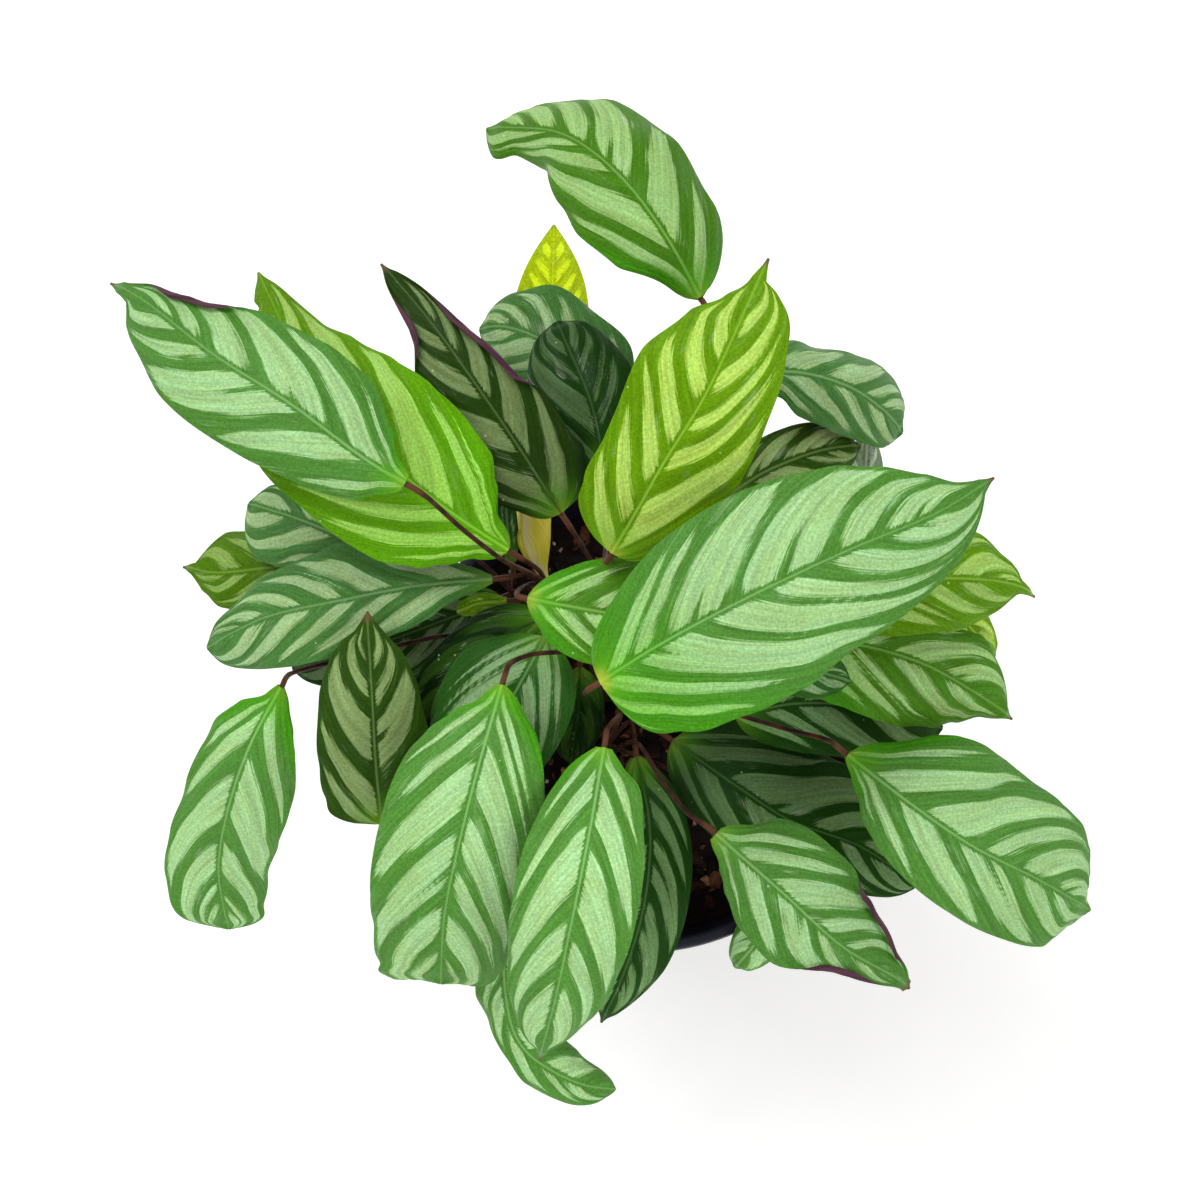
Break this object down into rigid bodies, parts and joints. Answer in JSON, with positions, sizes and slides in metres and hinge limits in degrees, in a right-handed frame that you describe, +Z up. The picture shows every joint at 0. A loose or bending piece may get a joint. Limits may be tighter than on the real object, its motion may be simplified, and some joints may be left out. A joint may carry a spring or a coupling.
{
  "type": "potted calathea",
  "caption": "Low clump of oblong leaves barred dark green in a fishbone pattern on thin arching stalks, growing from bark mix in a round tapered plastic nursery pot.",
  "frame": {"origin": "centre of the pot's underside, on the surface that the pot stands on", "axes": "+Z up along the pot's axis; +X to the right and +Y away from the viewer, towards the top of the picture"},
  "size_m": [0.2893, 0.2883, 0.2629],
  "materials": {
    "leaf": "waxy satin, silver green barred with dark green, purple beneath",
    "young_leaf": "waxy satin, yellow green",
    "stalk": "smooth satin, purple brown with tan joints",
    "potting_mix": "rough dark bark chips with white grains",
    "pot": "moulded, satin dark navy"
  },
  "bodies": {
    "root": {"pot": "pot", "soil": "potting_mix", "shoot_back_left": "stalk", "shoot_back": "stalk", "shoot_right": "stalk", "shoot_front_right": "stalk", "shoot_front": "stalk", "shoot_left": "stalk", "shoot_middle": "stalk", "leaf_01": "leaf", "leaf_02": "young_leaf", "leaf_03": "leaf", "leaf_04": "leaf", "leaf_05": "leaf", "leaf_06": "leaf", "leaf_07": "leaf", "leaf_08": "leaf", "leaf_09": "leaf", "leaf_10": "leaf", "leaf_11": "leaf", "leaf_12": "leaf", "leaf_13": "leaf", "leaf_14": "leaf", "leaf_15": "leaf", "leaf_16": "leaf", "leaf_17": "leaf", "leaf_18": "leaf", "leaf_19": "leaf", "leaf_20": "leaf", "leaf_21": "leaf", "leaf_22": "leaf", "leaf_23": "leaf", "leaf_24": "leaf", "leaf_25": "leaf", "leaf_26": "leaf", "leaf_27": "leaf", "leaf_28": "leaf", "leaf_29": "leaf", "leaf_30": "leaf", "leaf_31": "leaf", "leaf_32": "leaf", "leaf_33": "leaf", "leaf_34": "leaf", "leaf_35": "leaf", "leaf_36": "leaf", "leaf_37": "leaf"}
  },
  "joints": []
}
